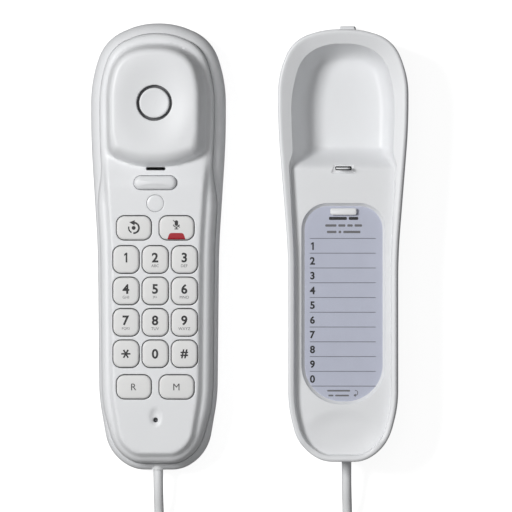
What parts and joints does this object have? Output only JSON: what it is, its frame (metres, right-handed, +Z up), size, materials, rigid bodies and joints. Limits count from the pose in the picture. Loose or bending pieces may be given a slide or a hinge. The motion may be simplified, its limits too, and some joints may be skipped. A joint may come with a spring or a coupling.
{
  "type": "slimline wall phone",
  "caption": "Slimline corded wall phone lying off the hook: keypad handset beside its hollow cradle base, joined by a curly cord.",
  "frame": {"origin": "centre of the footprint of handset and base together, on the table, the cord left out", "axes": "+Y towards the earpiece end of both halves, +X from the handset to the base, +Z up off the table"},
  "size_m": [0.1548, 0.3563, 0.0372],
  "materials": {
    "white_shell": "satin moulded ABS",
    "white_keys": "satin moulded keys",
    "cord_white": "satin vinyl cord",
    "grey_rubber": "moulded rubber",
    "black_plastic": "moulded",
    "frosted_lens": "frosted translucent",
    "clear_window": "clear moulded plastic",
    "printed_card": "printed card",
    "circuit_board": "solder mask",
    "steel": "plated",
    "brass": "plated sounder disc"
  },
  "bodies": {
    "base": {"base_shell": "white_shell", "base_back_plate": "white_shell", "memory_card": "printed_card", "line_jack": "black_plastic", "base_cord_grommet": "cord_white", "base_ballast": "steel", "base_circuit_board": "circuit_board", "ringer_sounder": "brass", "ringer_switch": "black_plastic", "base_screws": "steel", "rubber_feet": "grey_rubber", "cord_tail_base": "cord_white", "cord_coil": "cord_white"},
    "handset": {"handset_front_shell": "white_shell", "handset_rear_shell": "white_shell", "earpiece_disc": "white_shell", "receiver_gasket": "grey_rubber", "receiver_capsule": "black_plastic", "hook_switch": "black_plastic", "indicator_lens": "frosted_lens", "indicator_led": "frosted_lens", "handset_circuit_board": "circuit_board", "keypad_mat": "grey_rubber", "microphone_boot": "grey_rubber", "microphone": "steel", "handset_ballast": "steel", "handset_screws": "steel", "handset_cord_grommet": "cord_white", "cord_tail_handset": "cord_white"},
    "hook_plunger": {"hook_plunger": "white_shell"},
    "memory_window": {"memory_window": "clear_window"},
    "retaining_hook": {"retaining_hook": "white_shell"},
    "ringer_knob": {"ringer_knob": "white_shell"},
    "key_redial": {"key_redial": "white_keys"},
    "key_mute": {"key_mute": "white_keys"},
    "key_1": {"key_1": "white_keys"},
    "key_2": {"key_2": "white_keys"},
    "key_3": {"key_3": "white_keys"},
    "key_4": {"key_4": "white_keys"},
    "key_5": {"key_5": "white_keys"},
    "key_6": {"key_6": "white_keys"},
    "key_7": {"key_7": "white_keys"},
    "key_8": {"key_8": "white_keys"},
    "key_9": {"key_9": "white_keys"},
    "key_star": {"key_star": "white_keys"},
    "key_0": {"key_0": "white_keys"},
    "key_hash": {"key_hash": "white_keys"},
    "key_recall": {"key_recall": "white_keys"},
    "key_memory": {"key_memory": "white_keys"}
  },
  "joints": [
    {"name": "handset_dock", "type": "hinge", "parent": "base", "child": "handset", "pos_m": [0.00068, 0, 0.0302], "axis": [0, -1, 0], "range_deg": [-180, 0]},
    {"name": "hook_plunger_press", "type": "slide", "parent": "handset", "child": "hook_plunger", "axis": [0, 0, -1], "range_m": [0, 0.0019]},
    {"name": "memory_window_lift", "type": "hinge", "parent": "base", "child": "memory_window", "pos_m": [0.04618, -0.07465, 0.03035], "axis": [1, 0, 0], "range_deg": [0, 35]},
    {"name": "retaining_hook_pull", "type": "slide", "parent": "base", "child": "retaining_hook", "axis": [0, 0, 1], "range_m": [0, 0.01]},
    {"name": "ringer_slide", "type": "slide", "parent": "base", "child": "ringer_knob", "axis": [0, 1, 0], "range_m": [0, 0.004]},
    {"name": "key_redial_press", "type": "slide", "parent": "handset", "child": "key_redial", "axis": [0, 0, -1], "range_m": [0, 0.0012], "stiffness_N_per_m": 300, "springref_m": -0.0008},
    {"name": "key_mute_press", "type": "slide", "parent": "handset", "child": "key_mute", "axis": [0, 0, -1], "range_m": [0, 0.0012], "stiffness_N_per_m": 300, "springref_m": -0.0008},
    {"name": "key_1_press", "type": "slide", "parent": "handset", "child": "key_1", "axis": [0, 0, -1], "range_m": [0, 0.0012], "stiffness_N_per_m": 300, "springref_m": -0.0008},
    {"name": "key_2_press", "type": "slide", "parent": "handset", "child": "key_2", "axis": [0, 0, -1], "range_m": [0, 0.0012], "stiffness_N_per_m": 300, "springref_m": -0.0008},
    {"name": "key_3_press", "type": "slide", "parent": "handset", "child": "key_3", "axis": [0, 0, -1], "range_m": [0, 0.0012], "stiffness_N_per_m": 300, "springref_m": -0.0008},
    {"name": "key_4_press", "type": "slide", "parent": "handset", "child": "key_4", "axis": [0, 0, -1], "range_m": [0, 0.0012], "stiffness_N_per_m": 300, "springref_m": -0.0008},
    {"name": "key_5_press", "type": "slide", "parent": "handset", "child": "key_5", "axis": [0, 0, -1], "range_m": [0, 0.0012], "stiffness_N_per_m": 300, "springref_m": -0.0008},
    {"name": "key_6_press", "type": "slide", "parent": "handset", "child": "key_6", "axis": [0, 0, -1], "range_m": [0, 0.0012], "stiffness_N_per_m": 300, "springref_m": -0.0008},
    {"name": "key_7_press", "type": "slide", "parent": "handset", "child": "key_7", "axis": [0, 0, -1], "range_m": [0, 0.0012], "stiffness_N_per_m": 300, "springref_m": -0.0008},
    {"name": "key_8_press", "type": "slide", "parent": "handset", "child": "key_8", "axis": [0, 0, -1], "range_m": [0, 0.0012], "stiffness_N_per_m": 300, "springref_m": -0.0008},
    {"name": "key_9_press", "type": "slide", "parent": "handset", "child": "key_9", "axis": [0, 0, -1], "range_m": [0, 0.0012], "stiffness_N_per_m": 300, "springref_m": -0.0008},
    {"name": "key_star_press", "type": "slide", "parent": "handset", "child": "key_star", "axis": [0, 0, -1], "range_m": [0, 0.0012], "stiffness_N_per_m": 300, "springref_m": -0.0008},
    {"name": "key_0_press", "type": "slide", "parent": "handset", "child": "key_0", "axis": [0, 0, -1], "range_m": [0, 0.0012], "stiffness_N_per_m": 300, "springref_m": -0.0008},
    {"name": "key_hash_press", "type": "slide", "parent": "handset", "child": "key_hash", "axis": [0, 0, -1], "range_m": [0, 0.0012], "stiffness_N_per_m": 300, "springref_m": -0.0008},
    {"name": "key_recall_press", "type": "slide", "parent": "handset", "child": "key_recall", "axis": [0, 0, -1], "range_m": [0, 0.0012], "stiffness_N_per_m": 300, "springref_m": -0.0008},
    {"name": "key_memory_press", "type": "slide", "parent": "handset", "child": "key_memory", "axis": [0, 0, -1], "range_m": [0, 0.0012], "stiffness_N_per_m": 300, "springref_m": -0.0008}
  ],
  "couplings": [
    {"joint": "hook_plunger_press", "follows": "handset_dock", "m_per_rad": -0.00057296}
  ]
}
